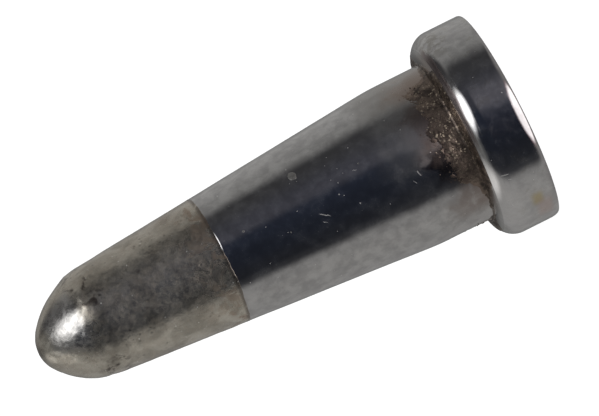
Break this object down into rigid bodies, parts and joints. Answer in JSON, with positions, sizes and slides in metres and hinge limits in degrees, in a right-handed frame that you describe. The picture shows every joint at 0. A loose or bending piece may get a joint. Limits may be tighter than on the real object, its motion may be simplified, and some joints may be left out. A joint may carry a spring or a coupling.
{
  "type": "soldering iron tip",
  "caption": "Used push-on soldering iron tip with a blunt tinned nose, a dark chromed conical shank, a rear flange and a blind heater bore.",
  "frame": {"origin": "centre of the flange's rear face, which the tip stands on", "axes": "+Z along the axis of the tip, from the flange to the nose; -Y is the side that the picture shows"},
  "size_m": [0.0096, 0.0096, 0.0228],
  "materials": {
    "copper": "turned copper, sealed in by the plating",
    "iron": "matt electroplated iron",
    "nickel": "nickel under the chrome",
    "dark_chrome": "dark glossy chrome, finely scratched, heat-browned near the flange",
    "tinning": "dull mottled oxidised solder, bright on the nose",
    "bore_nickel": "heat-oxidised nickel",
    "burnt_flux": "granular burnt flux crust",
    "solder": "small frozen solder drops"
  },
  "bodies": {
    "root": {"copper_core": "copper", "iron_plating": "iron", "nickel_plating": "nickel", "chrome_plating": "dark_chrome", "tin_coat": "tinning", "bore_lining": "bore_nickel", "flux_residue": "burnt_flux", "solder_spatter": "solder"}
  },
  "joints": []
}
